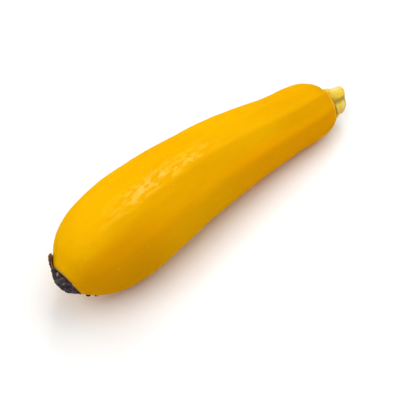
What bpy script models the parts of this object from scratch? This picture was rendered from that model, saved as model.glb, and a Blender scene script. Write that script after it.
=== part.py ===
"""A yellow zucchini with a cut stem and a dried blossom end, lying on its side.

Units are metres and +Z is up. The stem points along +X. The object's own frame has its origin at the
bottom centre of its bounding box, so it stands on the plane z = 0.
"""

import math
import random

import bmesh
import bpy
import numpy as np
from mathutils import Matrix, Vector

# The fruit, from the blossom scar at one end to the lip around the stem at the other
FRUIT_LENGTH = 0.1675
BELLY_RADIUS = 0.0258
BEND_SIDEWAYS = 0.0063
BEND_UPWARDS = 0.0033
BEND_POWER = 1.75
# The scar is a shallow dish inside a low rim
SCAR_RADIUS, SCAR_RIM_RADIUS, SCAR_DEPTH = 0.0088, 0.0097, 0.0006
# The scar faces a little downwards: the side at this turn from the top, towards -Y, stands out furthest
SCAR_TILT, SCAR_TILT_SIDE, SCAR_TILT_TO = math.radians(11), math.radians(20), 0.034
# The lip round the stem's recess is lobed, and its lobes reach a little along the stem
LIP_RADIUS = 0.0104
LIP_LOBES_FROM, LIP_LOBES_TO = 0.158, 0.168
LIP_LOBE_DEPTH, LIP_LOBE_REACH = 0.10, 0.0010
RECESS_DEPTH = 0.0012
# Each ring's place from the lip, share of the lip's radius, facet depth, lobe depth and reach of its lobes
LIP_RINGS = (
    (-0.0002, 1.03, 0.02, 0.13, 0.0014),
    (0, 0.98, 0.02, 0.14, 0.0015),
    (-0.0002, 0.955, 0.01, 0.11, 0.0014),
    (-RECESS_DEPTH, 0.935, 0.01, 0.09, 0),
)
# Distance from the scar and radius as a share of the belly's, along the smooth part of the outline
OUTLINE = (
    (0.0025, 0.488),
    (0.0055, 0.612),
    (0.010, 0.752),
    (0.017, 0.892),
    (0.025, 0.965),
    (0.036, 1.000),
    (0.050, 0.986),
    (0.075, 0.934),
    (0.102, 0.847),
    (0.127, 0.742),
    (0.145, 0.682),
    (0.1555, 0.662),
    (0.1625, 0.608),
    (0.1664, 0.505),
)

# Ridges along the fruit, with a lesser one between each two main ones
MAIN_RIDGES = 5
RIDGE_TURN = math.radians(16)
SCAR_TWIST, SCAR_TWIST_TO = math.radians(-6), 0.050
STEM_TWIST, STEM_TWIST_FROM, STEM_TWIST_TO = math.radians(-14), 0.140, 0.182
FACET_AT_SCAR, FACET_AT_LIP = 0.014, 0.042
LESSER_RIDGE_DROP = 0.4
RIDGE_SOFTNESS = 0.3
# Size of each main ridge at the shoulder, where the ridges differ most
SHOULDER_SIZES = (1.03, 0.955, 0.98, 1.02, 1.11)
SHOULDER_FROM, SHOULDER_TO = 0.134, 0.157

# Two flat spots that the fruit lies on
BELLY_REST_AT, SHOULDER_REST_AT = 0.046, 0.154
FLAT_DEPTH = 0.00035

# The stem's stub
STEM_LENGTH = 0.0137
STEM_RADIUS = 0.0090
# The stem is cut at a slant: the side at this turn from the top, towards -Y, reaches furthest
STEM_TIP_SLANT, STEM_TIP_SIDE = math.radians(14), math.radians(-30)
RIB_SIZES = (1.12, 0.98, 0.94, 1.04, 1.20)
RIB_SOFTNESS = 0.12
# Share of the stem's length, share of its rib radius and groove depth, from its foot to its hollow cut face
STEM_RINGS = (
    (0.00, 0.97, 0.12),
    (0.10, 0.98, 0.13),
    (0.24, 0.96, 0.17),
    (0.42, 0.90, 0.22),
    (0.62, 0.84, 0.26),
    (0.80, 0.81, 0.27),
    (0.92, 0.80, 0.26),
    (0.98, 0.76, 0.24),
    (1.00, 0.69, 0.22),
    (0.985, 0.55, 0.17),
    (0.96, 0.30, 0.10),
)
CUT_MIDDLE = 0.955

# The blossom's dried remains
BLOSSOM_CORE_RADIUS = 0.0082
BLOSSOM_CORE_HEIGHT = 0.0036
BLOSSOM_CORE_SIDES = 24
# How far the core's summit lies off the scar's middle: upwards, and towards +Y
BLOSSOM_SUMMIT_UP, BLOSSOM_SUMMIT_ACROSS = 0.0017, 0.0021
# Share of the core's height and share of its radius, from the scar outwards
BLOSSOM_CORE_RINGS = ((0, 0.97), (0.25, 1.0), (0.52, 0.93), (0.8, 0.76), (1, 0.48))
FLAKE_WIDTH, FLAKE_THICKNESS = 0.0046, 0.0007
FLAKE_SEED = 11
# The way of a flake's outer side over the scar's rim and back along the skin: its distance from the scar's
# middle, and its height off the scar
FLAKE_WAY = (
    (0.0066, 0.0010),
    (0.0082, 0.0016),
    (0.0099, 0.0015),
    (0.0114, 0.0005),
    (0.0128, -0.0009),
    (0.0142, -0.0023),
    (0.0156, -0.0037),
)
# Share of a flake's length, half width and sideways drift, as shares of its width
FLAKE_RINGS = (
    (0, 0.46, 0),
    (0.22, 0.50, 0.01),
    (0.42, 0.52, 0.03),
    (0.62, 0.46, 0.06),
    (0.82, 0.34, 0.1),
    (1, 0.12, 0.17),
)
# Every second flake lies on its neighbour
FLAKE_STEP = 0.0003
# Each clump's middle, from the top of the fruit towards -Y in degrees, its number of flakes and their length
CLUMPS = (
    (-64, 2, 0.0098),
    (10, 3, 0.0056),
    (55, 3, 0.0062),
    (99, 3, 0.0050),
    (147, 2, 0.0080),
    (195, 3, 0.0060),
    (248, 2, 0.0068),
)
CLUMP_STEP = math.radians(16)

CLEARANCE = 0.0003
FRUIT_SIDES = 60
BODY_RINGS = 34
# How evenly the body's rings are spaced, where 0 crowds them most towards its two ends
RING_EVENNESS = 0.45
STEM_SIDES = 40
SHARP_ANGLE = math.radians(40)


def clear_scene():
    for obj in list(bpy.data.objects):
        bpy.data.objects.remove(obj, do_unlink=True)


def finish_of(name, colour, roughness):
    material = bpy.data.materials.new(name)
    material.use_nodes = True
    shader = material.node_tree.nodes["Principled BSDF"]
    shader.inputs["Base Color"].default_value = (*colour, 1)
    shader.inputs["Roughness"].default_value = roughness
    shader.inputs["Metallic"].default_value = 0
    material.diffuse_color = (*colour, 1)
    return material


def smooth_step(share):
    share = min(max(share, 0), 1)
    return share * share * (3 - 2 * share)


def outline_radius(along):
    """Radius of the smooth outline, by a curve whose slope at each point is that of its neighbours."""
    x, size = np.array(OUTLINE).T
    slope = np.gradient(size, x)
    i = int(np.clip(np.searchsorted(x, along) - 1, 0, len(x) - 2))
    step = x[i + 1] - x[i]
    t = (along - x[i]) / step
    share = (1 + 2 * t) * (1 - t) ** 2 * size[i] + t * t * (3 - 2 * t) * size[i + 1]
    share += (t * (1 - t) ** 2 * slope[i] + t * t * (t - 1) * slope[i + 1]) * step
    return BELLY_RADIUS * float(share)


def bend(along):
    """Share of the full bend at a place on the axis: nothing at its middle, one at each end."""
    return abs(2 * along / FRUIT_LENGTH - 1) ** BEND_POWER


def ridge_turn(along):
    """Angle of the first main ridge from the top of the fruit towards -Y, which drifts back at both ends."""
    at_scar = SCAR_TWIST * smooth_step(1 - along / SCAR_TWIST_TO)
    at_stem = STEM_TWIST * smooth_step((along - STEM_TWIST_FROM) / (STEM_TWIST_TO - STEM_TWIST_FROM))
    return RIDGE_TURN + at_scar + at_stem


def size_round(sizes, angle):
    """Size at an angle from the first main ridge, passing smoothly from each ridge's size to the next one's."""
    place = angle / (2 * math.pi) * len(sizes)
    ridge = math.floor(place)
    share = smooth_step(place - ridge)
    return sizes[ridge % len(sizes)] * (1 - share) + sizes[(ridge + 1) % len(sizes)] * share


def fruit_section(angle, facet, lobe):
    """Radius at an angle from a main ridge, as a share of the ridge's own: flat-sided, with soft corners."""
    wave = math.sin(MAIN_RIDGES * angle)
    deepest = math.hypot(1, RIDGE_SOFTNESS) - RIDGE_SOFTNESS
    crease = (math.hypot(wave, RIDGE_SOFTNESS) - RIDGE_SOFTNESS) / deepest
    between = (1 - math.cos(MAIN_RIDGES * angle)) / 2
    return 1 - facet * crease - (LESSER_RIDGE_DROP * facet + lobe) * between


def body_ring(along):
    """Place, ridge radius, facet depth, lobe depth and reach of the lobes of a ring on the fruit's body."""
    facet = FACET_AT_SCAR + (FACET_AT_LIP - FACET_AT_SCAR) * smooth_step(along / FRUIT_LENGTH)
    lobed = smooth_step((along - LIP_LOBES_FROM) / (LIP_LOBES_TO - LIP_LOBES_FROM))
    return along, outline_radius(along), facet, LIP_LOBE_DEPTH * lobed, LIP_LOBE_REACH * lobed


def skin_reach(ring, angle):
    """Distance of the skin from the axis at an angle from the first main ridge."""
    along, radius, facet, lobe, _ = ring
    swell = smooth_step((along - SHOULDER_FROM) / (SHOULDER_TO - SHOULDER_FROM)) * (along < OUTLINE[-1][0])
    return radius * (1 + (size_round(SHOULDER_SIZES, angle) - 1) * swell) * fruit_section(angle, facet, lobe)


def skin_depth(along):
    """How far the skin hangs below the axis."""
    ring, turn = body_ring(along), ridge_turn(along)
    angles = [2 * math.pi * i / FRUIT_SIDES for i in range(FRUIT_SIDES)]
    return max(-skin_reach(ring, angle) * math.cos(angle + turn) for angle in angles)


def axis_height(along):
    """Height of the axis before its bend, so that both resting places dip below the ground alike."""
    places = BELLY_REST_AT, SHOULDER_REST_AT
    low, high = (skin_depth(at) + BEND_UPWARDS * bend(at) - FLAT_DEPTH for at in places)
    return low + (high - low) * (along - places[0]) / (places[1] - places[0])


def axis_point(along):
    share = bend(along)
    return Vector((along, -BEND_SIDEWAYS * share, axis_height(along) - BEND_UPWARDS * share))


def axis_matrix(along):
    """Place on the axis whose Z runs along it and whose X is upmost, with Y to the -Y side of the fruit."""
    step = 0.0005
    forward = (axis_point(along + step) - axis_point(along - step)).normalized()
    side = Vector((0, 0, 1)).cross(forward).normalized()
    upward = forward.cross(side)
    return Matrix.Translation(axis_point(along)) @ Matrix((upward, -side, forward)).transposed().to_4x4()


def scar_lean(along, way, reach):
    """How far the tilt of the scar carries a point towards the scar's end, fading out along the fruit."""
    return math.tan(SCAR_TILT) * smooth_step(1 - along / SCAR_TILT_TO) * reach * math.cos(way - SCAR_TILT_SIDE)


def fruit_rings():
    """Each ring's place, ridge radius, facet depth, lobe depth and how far its ridges lean along the axis."""
    first, last = OUTLINE[0][0], OUTLINE[-1][0]
    rings = [
        (SCAR_DEPTH, SCAR_RADIUS, 0, 0, 0),
        (0.0001, SCAR_RIM_RADIUS - 0.0005, 0, 0, 0),
        (0, SCAR_RIM_RADIUS, 0, 0, 0),
        (0.0006, SCAR_RIM_RADIUS + 0.0008, 0.004, 0, 0),
    ]
    for i in range(BODY_RINGS):
        even = i / (BODY_RINGS - 1)
        share = (1 - RING_EVENNESS) * (1 - math.cos(math.pi * even)) / 2 + RING_EVENNESS * even
        rings.append(body_ring(first + (last - first) * share))
    for place, share, facet, lobe, lean in LIP_RINGS:
        rings.append((FRUIT_LENGTH + place, LIP_RADIUS * share, facet, lobe, lean))
    return rings


def closed_loft(name, loops, material, first_centre, last_centre):
    """One closed solid: a disc extruded from loop to loop, with a point in the middle of each end."""
    mesh = bmesh.new()
    ring = bmesh.ops.create_circle(mesh, cap_ends=True, segments=len(loops[0]), radius=BELLY_RADIUS)["verts"]
    for vert, point in zip(ring, loops[0]):
        vert.co = point
    ends = [ring[0].link_faces[0]]
    for loop in loops[1:]:
        grown = bmesh.ops.extrude_face_region(mesh, geom=[ends[-1]])["geom"]
        ends.append(next(piece for piece in grown if isinstance(piece, bmesh.types.BMFace)))
        corners = set(ends[-1].verts)
        ring = [(corners & {edge.other_vert(vert) for edge in vert.link_edges}).pop() for vert in ring]
        for vert, point in zip(ring, loop):
            vert.co = point
    bmesh.ops.delete(mesh, geom=ends[1:-1], context="FACES_ONLY")
    for end, centre in ((ends[0], first_centre), (ends[-1], last_centre)):
        bmesh.ops.poke(mesh, faces=[end])["verts"][0].co = centre
    bmesh.ops.recalc_face_normals(mesh, faces=mesh.faces)
    data = bpy.data.meshes.new(name)
    mesh.to_mesh(data)
    mesh.free()
    data.materials.append(material)
    data.shade_smooth()
    data.set_sharp_from_angle(angle=SHARP_ANGLE)
    obj = bpy.data.objects.new(name, data)
    bpy.context.collection.objects.link(obj)
    return obj


def above_ground(point):
    return Vector((point.x, point.y, max(point.z, 0)))


def make_fruit(material):
    loops = []
    for ring in fruit_rings():
        along, lean = ring[0], ring[-1]
        place, turn = axis_matrix(along), ridge_turn(along)
        loop = []
        for i in range(FRUIT_SIDES):
            angle = 2 * math.pi * i / FRUIT_SIDES
            reach, way = skin_reach(ring, angle), angle + turn
            forward = lean * ((1 + math.cos(MAIN_RIDGES * angle)) / 2) ** 2 - scar_lean(along, way, reach)
            loop.append(above_ground(place @ Vector((reach * math.cos(way), reach * math.sin(way), forward))))
        loops.append(loop)
    recess_centre = axis_point(FRUIT_LENGTH - RECESS_DEPTH)
    return closed_loft("fruit", loops, material, axis_point(SCAR_DEPTH), recess_centre)


def make_stem(material):
    """The stub: round ribs with folds between them, from its foot in the recess to its slanted cut."""
    foot = FRUIT_LENGTH - RECESS_DEPTH + CLEARANCE
    turn = ridge_turn(FRUIT_LENGTH + STEM_LENGTH)
    loops = []
    for share, rib, groove in STEM_RINGS:
        place = axis_matrix(foot + share * STEM_LENGTH)
        loop = []
        for i in range(STEM_SIDES):
            angle = 2 * math.pi * i / STEM_SIDES
            fold = math.hypot(math.cos(MAIN_RIDGES * angle / 2), RIB_SOFTNESS) / math.hypot(1, RIB_SOFTNESS)
            size = 1 + (size_round(RIB_SIZES, angle) - 1) * smooth_step(share * 3)
            reach = STEM_RADIUS * rib * size * (1 - groove * (1 - fold))
            way = angle + turn
            slant = math.tan(STEM_TIP_SLANT) * reach * math.cos(way - STEM_TIP_SIDE) * smooth_step(share)
            loop.append(place @ Vector((reach * math.cos(way), reach * math.sin(way), slant)))
        loops.append(loop)
    return closed_loft("stem", loops, material, axis_point(foot), axis_point(foot + CUT_MIDDLE * STEM_LENGTH))


def flake_mesh(width, length, skew):
    """A ragged scrap of dried petal, a thin strip out along +X that curls back over the rim to a torn tip."""
    way = np.array(FLAKE_WAY)
    reached = np.concatenate([[0], np.cumsum(np.linalg.norm(np.diff(way, axis=0), axis=1))])
    steps = len(FLAKE_RINGS) - 1
    mesh = bmesh.new()
    bmesh.ops.create_grid(mesh, x_segments=steps, y_segments=1, size=0.5)
    for vert in mesh.verts:
        share, half, drift = FLAKE_RINGS[round((vert.co.x + 0.5) * steps)]
        out, up = (float(np.interp(share * length, reached, way[:, k])) for k in (0, 1))
        vert.co = (out, (math.copysign(half, vert.co.y) + skew * drift) * width, up)
    bmesh.ops.solidify(mesh, geom=mesh.faces[:], thickness=FLAKE_THICKNESS)
    bmesh.ops.triangulate(mesh, faces=mesh.faces[:])
    bmesh.ops.recalc_face_normals(mesh, faces=mesh.faces)
    data = bpy.data.meshes.new("flake")
    mesh.to_mesh(data)
    mesh.free()
    return data


def outward_matrix():
    """Place at the scar whose Z points away from the fruit, whose X is upmost and whose Y is to the -Y side."""
    across = Vector((-math.sin(SCAR_TILT_SIDE), math.cos(SCAR_TILT_SIDE), 0))
    place = axis_matrix(0) @ Matrix.Rotation(SCAR_TILT, 4, across)
    upward, side, forward = (place.col[i].xyz for i in range(3))
    return Matrix.Translation(place.translation) @ Matrix((upward, side, -forward)).transposed().to_4x4()


def place_flakes(collection):
    """Flakes in clumps round the core, which arch over the fruit's rim."""
    draw = random.Random(FLAKE_SEED)
    away = outward_matrix()
    for middle, count, length in CLUMPS:
        for i in range(count):
            angle = math.radians(middle) + CLUMP_STEP * (i - (count - 1) / 2) + draw.uniform(-0.04, 0.04)
            width = FLAKE_WIDTH * draw.uniform(0.8, 1.15)
            data = flake_mesh(width, length * draw.uniform(0.85, 1.1), draw.choice((-1, 1)))
            flake = bpy.data.objects.new(f"flake_{len(collection.objects)}", data)
            root = Matrix.Translation((0, 0, FLAKE_STEP * (i % 2)))
            flake.matrix_world = away @ Matrix.Rotation(angle, 4, "Z") @ root
            collection.objects.link(flake)


def make_blossom_scar(material):
    """The blossom's core, a low uneven mound off the fruit's scar, with the flakes joined to it."""
    draw = random.Random(FLAKE_SEED + 1)
    away = outward_matrix()
    foot = CLEARANCE - SCAR_DEPTH
    sizes = [BLOSSOM_CORE_RADIUS * draw.uniform(0.95, 1.0) for _ in range(BLOSSOM_CORE_SIDES)]
    loops = []
    for share, spread in BLOSSOM_CORE_RINGS:
        loop = []
        for i, size in enumerate(sizes):
            turn = 2 * math.pi * i / BLOSSOM_CORE_SIDES
            x = BLOSSOM_SUMMIT_UP * share + size * spread * math.cos(turn)
            y = -BLOSSOM_SUMMIT_ACROSS * share + size * spread * math.sin(turn)
            loop.append(away @ Vector((x, y, foot + share * BLOSSOM_CORE_HEIGHT)))
        loops.append(loop)
    summit = Vector((BLOSSOM_SUMMIT_UP, -BLOSSOM_SUMMIT_ACROSS, foot + 1.1 * BLOSSOM_CORE_HEIGHT))
    core = closed_loft("blossom_scar", loops, material, away @ Vector((0, 0, foot)), away @ summit)

    scraps = bpy.data.collections.new("flakes")
    bpy.context.scene.collection.children.link(scraps)
    place_flakes(scraps)
    join = core.modifiers.new("join", "BOOLEAN")
    join.operation = "UNION"
    join.solver = "EXACT"
    join.operand_type = "COLLECTION"
    join.collection = scraps
    bpy.context.view_layer.objects.active = core
    bpy.ops.object.modifier_apply(modifier="join")
    for flake in list(scraps.objects):
        bpy.data.objects.remove(flake, do_unlink=True)
    bpy.data.collections.remove(scraps)
    core.data.materials.clear()
    core.data.materials.append(material)
    return core


def stand_on_origin(pieces):
    """Hangs the pieces from one empty, moved so that their box has its bottom centre at the origin."""
    corners = np.array([vertex.co for piece in pieces for vertex in piece.data.vertices])
    low, high = corners.min(axis=0), corners.max(axis=0)
    zucchini = bpy.data.objects.new("zucchini", None)
    bpy.context.collection.objects.link(zucchini)
    zucchini.location = (-(low[0] + high[0]) / 2, -(low[1] + high[1]) / 2, -low[2])
    for piece in pieces:
        piece.parent = zucchini


def main():
    clear_scene()
    fruit = make_fruit(finish_of("yellow skin", (0.86, 0.44, 0.008), 0.36))
    stem = make_stem(finish_of("cut stem", (0.71, 0.58, 0.10), 0.55))
    blossom_scar = make_blossom_scar(finish_of("dried blossom", (0.035, 0.026, 0.022), 0.85))
    stand_on_origin([fruit, stem, blossom_scar])


main()
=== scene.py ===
"""A whole yellow zucchini with a cut stem and a dried blossom end, lying on its side on a white floor.

The zucchini is drawn out ring by ring along the bowed line through its middle, from the blossom scar to the
stem. Lengths are metres, +X points to the stem and +Z is up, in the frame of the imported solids.
"""

import logging
import math
import random
from collections.abc import Callable, Iterable, Sequence
from dataclasses import dataclass
from enum import Enum
from functools import partialmethod

import bmesh
import bpy
from mathutils import Matrix, Vector


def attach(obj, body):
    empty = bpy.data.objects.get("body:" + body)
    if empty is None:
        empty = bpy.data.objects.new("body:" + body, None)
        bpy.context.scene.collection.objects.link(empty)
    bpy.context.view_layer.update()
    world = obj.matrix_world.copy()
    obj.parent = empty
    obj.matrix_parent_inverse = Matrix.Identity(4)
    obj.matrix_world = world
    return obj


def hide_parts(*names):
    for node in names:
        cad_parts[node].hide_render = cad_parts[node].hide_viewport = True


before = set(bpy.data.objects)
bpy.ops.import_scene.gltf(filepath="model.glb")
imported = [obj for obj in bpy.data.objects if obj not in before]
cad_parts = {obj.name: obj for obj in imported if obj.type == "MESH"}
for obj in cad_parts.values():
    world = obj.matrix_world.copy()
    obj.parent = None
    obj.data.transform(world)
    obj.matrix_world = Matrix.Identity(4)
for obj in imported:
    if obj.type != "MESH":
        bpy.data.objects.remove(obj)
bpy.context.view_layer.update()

LOG = logging.getLogger("zucchini")
Piece = bpy.types.Object
Colour = tuple[float, float, float]
Place = tuple[float, float, float]
Span = tuple[float, float]
Zone = tuple[float, float, float]  # where a mask starts, where it is full, and its full value
Ripple = tuple[float, float, int]  # width of the clouds, their height, and how many finer clouds they have
MAIN_RIDGES = 5
IN_GROOVE = 2.0  # fold of the vertices in the groove round the stem
LEAST_STEP = 1e-7  # a shorter move of a vertex is left out


def ease(share: float) -> float:
    """Return a share held between 0 and 1, with a soft start and a soft end."""
    share = min(max(share, 0.0), 1.0)
    return share * share * (3 - 2 * share)


def size_round(sizes: Sequence[float], angle: float) -> float:
    """Blend the sizes given at even steps round a ring.

    Args:
        sizes: One size for each ridge, starting at the first main ridge.
        angle: Angle from the first main ridge.

    Returns:
        The size at that angle, passing smoothly from each ridge's to the next one's.
    """
    place = angle / (2 * math.pi) * len(sizes)
    ridge = math.floor(place)
    share = ease(place - ridge)
    return sizes[ridge % len(sizes)] * (1 - share) + sizes[(ridge + 1) % len(sizes)] * share


def kept_share(sides: int) -> float:
    """Return how much of its radius a ring with so many sides keeps when it is smoothed."""
    return 1 - (1 - math.cos(2 * math.pi / sides)) / 3


def only(*pieces: Piece) -> None:
    """Select pieces alone, and make the first of them active.

    Args:
        *pieces: The pieces.
    """
    bpy.ops.object.select_all(action="DESELECT")
    for piece in pieces:
        piece.select_set(True)
    bpy.context.view_layer.objects.active = pieces[0]


def pick(piece: Piece, members: Iterable[int]) -> None:
    """Select vertices alone in edit mode, with the edges that join them.

    Args:
        piece: The piece that is being edited.
        members: Their indices.
    """
    bpy.ops.mesh.select_all(action="DESELECT")
    mesh = bmesh.from_edit_mesh(piece.data)
    mesh.verts.ensure_lookup_table()
    for member in members:
        mesh.verts[member].select = True
    mesh.select_flush_mode()
    bmesh.update_edit_mesh(piece.data, loop_triangles=False, destructive=False)


def found(piece: Piece, wanted: Callable[[Vector], bool]) -> list[int]:
    """Find vertices in edit mode.

    Args:
        piece: The piece that is being edited.
        wanted: Tells whether a vertex at this place is one of them.

    Returns:
        Their indices.
    """
    mesh = bmesh.from_edit_mesh(piece.data)
    mesh.verts.index_update()
    return [vert.index for vert in mesh.verts if wanted(vert.co)]


@dataclass(frozen=True)
class Ring:
    """One ring of vertices across a piece.

    Attributes:
        middle: Where the ring's middle lies.
        turned: Its rotation, whose X points at the first vertex and whose Z runs on along the piece.
        reach: How far each vertex stands from the middle.
        ahead: How far each vertex stands ahead of the ring's plane.
        fold: How deep each vertex lies in a fold or between ridges, from 0 to 1, for the finish.
        along: Distance along the piece before it is bowed, for the finish.
    """

    middle: Vector
    turned: Matrix
    reach: tuple[float, ...]
    ahead: tuple[float, ...]
    fold: tuple[float, ...]
    along: float


class RingWork:
    """A closed skin in the making, which is drawn out ring by ring in edit mode."""

    def __init__(self, name: str, rings: Sequence[Ring]) -> None:
        """Start with a filled circle, draw it out through the rings and close it.

        Args:
            name: Name of the piece.
            rings: The rings from its start to its end.
        """
        first = rings[0]
        count = len(first.reach)
        size = sum(first.reach) / count
        bpy.ops.mesh.primitive_circle_add(vertices=count, radius=size, fill_type="TRIFAN",
                                          location=first.middle, rotation=first.turned.to_euler())
        self.piece = bpy.context.object
        self.piece.name = self.piece.data.name = name
        bpy.ops.object.transform_apply(location=True, rotation=True, scale=True)
        bpy.ops.object.mode_set(mode="EDIT")
        mesh = bmesh.from_edit_mesh(self.piece.data)
        mesh.verts.layers.float_vector.new("grown")
        mesh.verts.layers.float.new("fold")
        self.ring = Ring(first.middle, first.turned, (size,) * count, (0.0,) * count, first.fold, first.along)
        self.rows: list[list[int]] = []
        pick(self.piece, [vert.index for vert in mesh.verts if vert.is_boundary])
        self.bring(first)
        for ring in rings[1:]:
            bpy.ops.mesh.extrude_region()
            self.bring(ring)
        bpy.ops.mesh.extrude_region()
        bpy.ops.transform.resize(value=(0.5, 0.5, 0.5), center_override=self.ring.middle)
        bpy.ops.mesh.extrude_region()
        bpy.ops.mesh.merge(type="CENTER")

    def in_order(self) -> list[int]:
        """Find the selected vertices of the ring.

        Returns:
            Their indices, in the order of their angles.
        """
        mesh = bmesh.from_edit_mesh(self.piece.data)
        mesh.verts.index_update()
        count = len(self.ring.reach)
        placed = {}
        for vert in mesh.verts:
            if vert.select:
                seen = self.ring.turned.transposed() @ (vert.co - self.ring.middle)
                placed[round(math.atan2(seen.y, seen.x) / (2 * math.pi) * count) % count] = vert.index
        return [placed[step] for step in range(count)]

    def bring(self, ring: Ring) -> None:
        """Move, turn and shape the selected ring until it is the one that is wanted.

        Args:
            ring: Where its vertices go.
        """
        rim = self.in_order()
        self.rows.append(rim)
        bpy.ops.transform.translate(value=ring.middle - self.ring.middle)
        turn = (ring.turned @ self.ring.turned.transposed()).to_euler("XYZ")
        for axis, angle in zip("XYZ", turn):
            bpy.ops.transform.rotate(value=-angle, orient_axis=axis, center_override=ring.middle)
        shares = [new / old for new, old in zip(ring.reach, self.ring.reach)]
        for share, members in alike(shares, rim):
            pick(self.piece, members)
            bpy.ops.transform.resize(value=(share, share, share), center_override=ring.middle)
        steps = [new - old * share for new, old, share in zip(ring.ahead, self.ring.ahead, shares)]
        for step, members in alike(steps, rim):
            if abs(step) > LEAST_STEP:
                pick(self.piece, members)
                bpy.ops.transform.translate(value=ring.turned.col[2] * step)
        mesh = bmesh.from_edit_mesh(self.piece.data)
        mesh.verts.ensure_lookup_table()
        grown = mesh.verts.layers.float_vector["grown"]
        fold = mesh.verts.layers.float["fold"]
        for step, index in enumerate(rim):
            angle = 2 * math.pi * step / len(rim)
            reach = ring.reach[step]
            mesh.verts[index][grown] = (reach * math.cos(angle), reach * math.sin(angle), ring.along)
            mesh.verts[index][fold] = ring.fold[step]
        pick(self.piece, rim)
        self.ring = ring

    def crease(self, steps: Iterable[int], rows: slice, sharpness: float) -> None:
        """Sharpen edges that run along the piece.

        Args:
            steps: Their places round the ring, counted in vertices.
            rows: The rings that they run through.
            sharpness: Crease of the edges, from 0 to 1.
        """
        for step in steps:
            pick(self.piece, (row[step] for row in self.rows[rows]))
            bpy.ops.transform.edge_crease(value=sharpness)

    def done(self) -> Piece:
        """Turn all faces outwards and leave edit mode.

        Returns:
            The piece.
        """
        bpy.ops.mesh.select_all(action="SELECT")
        bpy.ops.mesh.normals_make_consistent(inside=False)
        bpy.ops.object.mode_set(mode="OBJECT")
        return self.piece


def alike(values: Sequence[float], members: Sequence[int]) -> list[tuple[float, list[int]]]:
    """Gather vertices that are given the same value, so that one operator moves them together.

    Args:
        values: One value for each vertex.
        members: The vertices, in the same order.

    Returns:
        Each value with its vertices.
    """
    groups: dict[float, list[int]] = {}
    for value, member in zip(values, members):
        groups.setdefault(round(value, 6), []).append(member)
    return list(groups.items())


def with_modifier(piece: Piece, kind: str, **settings: object) -> None:
    """Add a modifier to a piece and apply it.

    Args:
        piece: The piece.
        kind: Blender's name for the modifier's type.
        **settings: The modifier's settings.
    """
    only(piece)
    bpy.ops.object.modifier_add(type=kind)
    modifier = piece.modifiers[-1]
    for name, value in settings.items():
        setattr(modifier, name, value)
    bpy.ops.object.modifier_apply(modifier=modifier.name)


def rippled(piece: Piece, ripple: Ripple) -> None:
    """Push a piece's surface in and out by soft clouds.

    Args:
        piece: The piece.
        ripple: The clouds.
    """
    clouds = bpy.data.textures.new("clouds", "CLOUDS")
    clouds.noise_scale, height, clouds.noise_depth = ripple
    with_modifier(piece, "DISPLACE", texture=clouds, texture_coords="LOCAL", strength=height, mid_level=0.5)


def settled(piece: Piece) -> None:
    """Flatten what hangs below the floor, where the piece lies on it.

    Args:
        piece: The piece.
    """
    only(piece)
    bpy.ops.object.mode_set(mode="EDIT")
    below = found(piece, lambda at: at.z < 0)
    pick(piece, below)
    if below:
        bpy.ops.transform.resize(value=(1, 1, 0), center_override=(0, 0, 0))
    bpy.ops.object.mode_set(mode="OBJECT")


def joined(name: str, parts: Sequence[Piece]) -> Piece:
    """Join parts into one piece, whose place is in its mesh.

    Args:
        name: Name of the piece.
        parts: The parts.

    Returns:
        The piece.
    """
    only(*parts)
    bpy.ops.object.join()
    bpy.ops.object.transform_apply(location=True, rotation=True, scale=True)
    piece = bpy.context.object
    piece.name = piece.data.name = name
    return piece


def finished(piece: Piece, levels: int, ripples: Iterable[Ripple], bench: "Bench") -> Piece:
    """Smooth a piece, ripple it, lay it on the floor, and give it its finish.

    Args:
        piece: The piece.
        levels: How often it is subdivided.
        ripples: The clouds that move its surface, one after another.
        bench: The bench that its finish was built on.

    Returns:
        The same piece.
    """
    with_modifier(piece, "SUBSURF", levels=levels, render_levels=levels)
    for ripple in ripples:
        rippled(piece, ripple)
    settled(piece)
    bpy.ops.object.shade_smooth()
    piece.data.materials.append(bench.material)
    return piece


class Reading:
    """A number or colour that a finish reads at each point, with arithmetic that adds the nodes for it."""

    def __init__(self, bench: "Bench", socket: bpy.types.NodeSocket) -> None:
        """Keep the output socket that gives the reading."""
        self.bench = bench
        self.socket = socket

    def worked(self, operation: str, other: "Term", last: bool = False) -> "Reading":
        """Return a Math node's result for this reading and a term, with this one last if so wished."""
        terms = {0: other, 1: self} if last else {0: self, 1: other}
        return self.bench.node("ShaderNodeMath", {"operation": operation}, terms)

    __add__ = partialmethod(worked, "ADD")
    __radd__ = partialmethod(worked, "ADD", last=True)
    __sub__ = partialmethod(worked, "SUBTRACT")
    __mul__ = partialmethod(worked, "MULTIPLY")

    def to(self, low: float, high: float, full: float = 1.0) -> "Reading":
        """Return a soft mask.

        Args:
            low: Value at or before which the mask is 0; it may be the larger of the two.
            high: Value from which on it is full.
            full: What it is then.

        Returns:
            The mask.
        """
        return self.bench.node("ShaderNodeMapRange", {"interpolation_type": "SMOOTHSTEP"},
                               {"Value": self, "From Min": low, "From Max": high, "To Max": full})

    def twin(self, output: str) -> "Reading":
        """Return another output of the same node."""
        return Reading(self.bench, self.socket.node.outputs[output])


Term = Reading | float


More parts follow.
